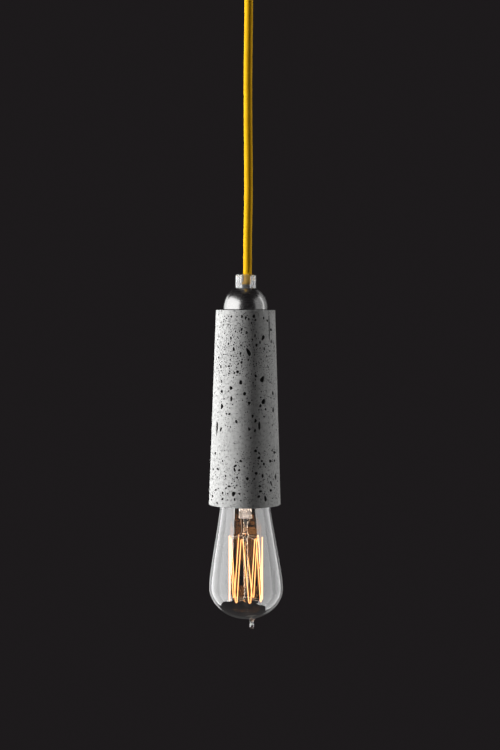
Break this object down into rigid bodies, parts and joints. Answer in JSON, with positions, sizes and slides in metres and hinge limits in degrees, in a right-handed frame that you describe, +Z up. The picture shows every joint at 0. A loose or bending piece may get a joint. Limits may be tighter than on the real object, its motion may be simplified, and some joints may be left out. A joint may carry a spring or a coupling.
{
  "type": "pendant ceiling light",
  "caption": "Tapered concrete pendant lamp on a yellow textile cord, with a steel dome, a clear cord grip, a ceiling canopy and a clear squirrel-cage screw bulb.",
  "frame": {"origin": "centre of the face that is screwed to the ceiling", "axes": "+Z up, away from the lamp and into the ceiling; +X to the right as seen from the front, along the ceiling bracket; the lamp hangs along -Z"},
  "size_m": [0.1054, 0.1, 0.592],
  "materials": {
    "bracket_steel": "satin",
    "satin_steel": "satin",
    "zinc_plated": "satin",
    "clear_acrylic": "gloss",
    "white_nylon": "satin",
    "brass": "satin",
    "wire_brown": "satin",
    "wire_blue": "satin",
    "wire_earth": "satin",
    "yellow_textile": "woven",
    "rubber_washer": "matte",
    "concrete": "matte, pitted",
    "holder_metal": "satin",
    "porcelain": "gloss",
    "black_bakelite": "gloss",
    "solder": "satin",
    "cement": "matte",
    "bulb_glass": "gloss",
    "nickel_wire": "satin",
    "filament": "glowing"
  },
  "bodies": {
    "ceiling_mount": {"ceiling_bracket": "bracket_steel", "canopy_cup": "satin_steel", "canopy_side_screws": "zinc_plated", "canopy_nipple": "zinc_plated", "canopy_nut": "zinc_plated", "upper_cord_grip": "clear_acrylic", "upper_grip_screw": "white_nylon", "terminal_block": "white_nylon", "terminal_sleeves": "brass", "terminal_screws": "zinc_plated", "earth_screw": "brass", "earth_link": "wire_earth", "canopy_wire_live": "wire_brown", "canopy_wire_neutral": "wire_blue", "canopy_wire_earth": "wire_earth", "cord_tail": "yellow_textile"},
    "cord_bend": {"cord_bend": "yellow_textile"},
    "cord": {"cord": "yellow_textile"},
    "lamp": {"lower_cord_grip": "clear_acrylic", "lower_grip_screw": "white_nylon", "dome_cap": "satin_steel", "seating_washer": "rubber_washer", "concrete_sleeve": "concrete", "clamp_washer": "bracket_steel", "lock_nut": "zinc_plated", "threaded_tube": "zinc_plated", "lamp_cord_end": "yellow_textile", "lamp_wire_live": "wire_brown", "lamp_wire_neutral": "wire_blue", "lamp_wire_earth": "wire_earth", "holder_cap": "holder_metal", "holder_lock_screw": "zinc_plated", "holder_earth_screw": "brass", "holder_insert": "porcelain", "holder_terminals": "brass", "holder_terminal_screws": "zinc_plated", "centre_tongue": "brass", "side_contact": "brass", "holder_screw_shell": "brass", "holder_skirt": "holder_metal", "holder_mouth_ring": "black_bakelite"},
    "bulb_contact": {"bulb_centre_contact": "solder"},
    "bulb": {"bulb_insulator": "black_bakelite", "bulb_screw_shell": "brass", "bulb_cement": "cement", "bulb_glass": "bulb_glass", "bulb_stem": "bulb_glass", "lead_in_wires": "nickel_wire", "glass_rod": "bulb_glass", "top_anchors": "nickel_wire", "bottom_anchors": "nickel_wire", "filament": "filament"}
  },
  "joints": [
    {"name": "swing_fore_aft", "type": "hinge", "parent": "ceiling_mount", "child": "cord_bend", "pos_m": [0.0015, 0, -0.044], "axis": [1, 0, 0], "range_deg": [-30, 30]},
    {"name": "swing_sideways", "type": "hinge", "parent": "cord_bend", "child": "cord", "pos_m": [0.0015, 0, -0.058], "axis": [0, 1, 0], "range_deg": [-30, 30]},
    {"name": "lamp_twist", "type": "hinge", "parent": "cord", "child": "lamp", "pos_m": [0.0015, 0, -0.285], "axis": [0, 0, 1], "range_deg": [-90, 90]},
    {"name": "bulb_travel", "type": "slide", "parent": "lamp", "child": "bulb_contact", "axis": [0, 0, -1], "range_m": [0, 0.0109]},
    {"name": "bulb_turn", "type": "hinge", "parent": "bulb_contact", "child": "bulb", "pos_m": [0, 0, -0.5], "axis": [0, 0, -1], "range_deg": [0, 1080]}
  ],
  "couplings": [
    {"joint": "bulb_travel", "follows": "bulb_turn", "m_per_rad": 0.00057757}
  ]
}
